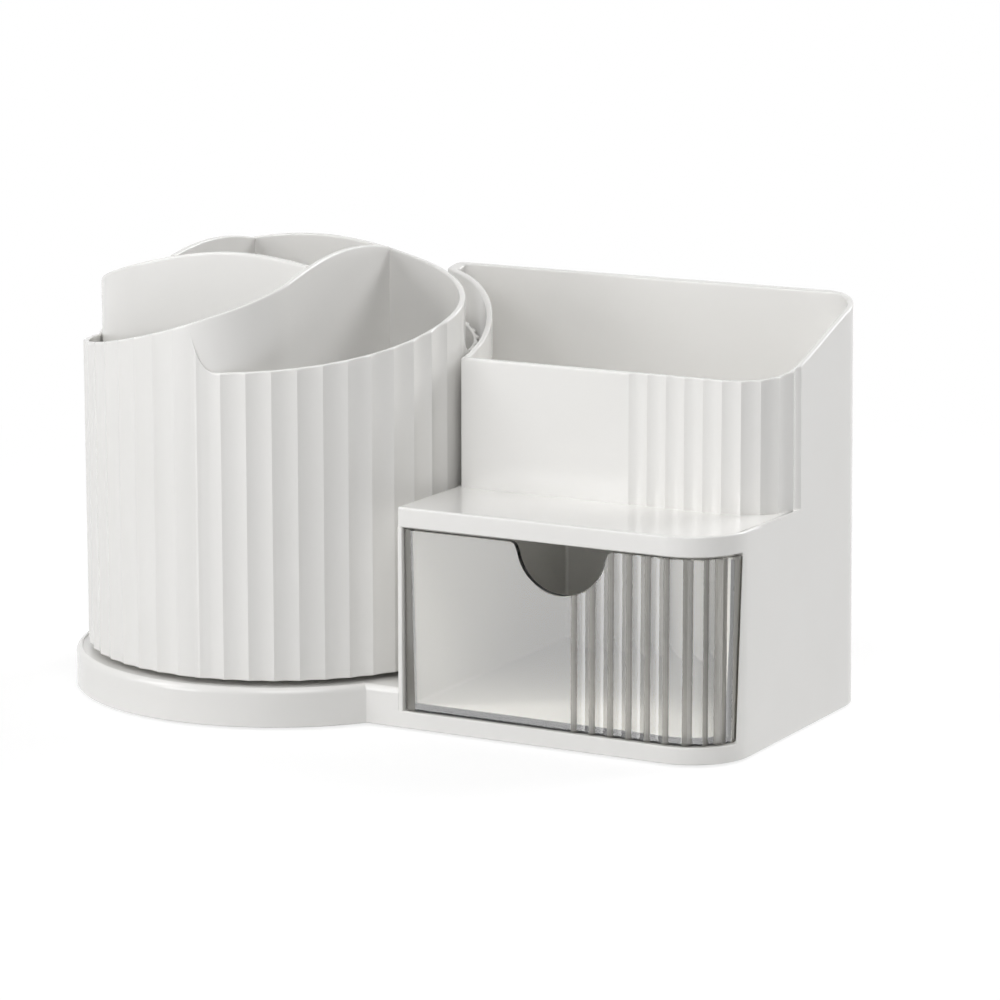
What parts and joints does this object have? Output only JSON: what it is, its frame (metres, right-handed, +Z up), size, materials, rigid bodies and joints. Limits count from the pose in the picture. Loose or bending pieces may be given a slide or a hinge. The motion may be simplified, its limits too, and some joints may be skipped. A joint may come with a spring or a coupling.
{
  "type": "makeup organizer",
  "caption": "White desk organizer with a fluted turning brush drum, a smoked clear drawer with a finger notch, an open shelf and a tall open bin.",
  "frame": {"origin": "on the surface it stands on, under the middle of the organizer's bounding box", "axes": "+X to the right along the front, +Y to the back, +Z up"},
  "size_m": [0.2353, 0.13, 0.1381],
  "materials": {
    "white_plastic": "fine matte moulding",
    "smoked_clear": "polished clear moulding with a light smoke tint",
    "acetal": "natural acetal",
    "steel": "plain steel",
    "rubber": "soft grey rubber"
  },
  "bodies": {
    "root": {"base_shell": "white_plastic", "bottom_cover": "white_plastic", "cover_screws": "steel", "rubber_foot_1": "rubber", "rubber_foot_2": "rubber", "rubber_foot_3": "rubber", "rubber_foot_4": "rubber", "rubber_foot_5": "rubber", "rubber_foot_6": "rubber", "housing_shell": "white_plastic", "bin_shell": "white_plastic", "pivot_bush": "acetal"},
    "drum": {"drum_floor": "white_plastic", "drum_blade_1": "white_plastic", "drum_blade_2": "white_plastic", "drum_blade_3": "white_plastic", "drum_blade_4": "white_plastic", "pivot_washer": "steel", "pivot_screw": "steel"},
    "ball_ring": {"ball_cage": "acetal", "bearing_balls": "steel"},
    "drawer": {"drawer": "smoked_clear"}
  },
  "joints": [
    {"name": "drum_turn", "type": "hinge", "parent": "root", "child": "drum", "pos_m": [-0.05265, 0, 0], "axis": [0, 0, 1], "continuous": true},
    {"name": "ball_ring_turn", "type": "hinge", "parent": "root", "child": "ball_ring", "pos_m": [-0.05265, 0, 0], "axis": [0, 0, 1], "continuous": true},
    {"name": "drawer_slide", "type": "slide", "parent": "root", "child": "drawer", "axis": [0, -1, 0], "range_m": [0, 0.075]}
  ],
  "couplings": [
    {"joint": "ball_ring_turn", "follows": "drum_turn", "ratio": 0.5}
  ]
}
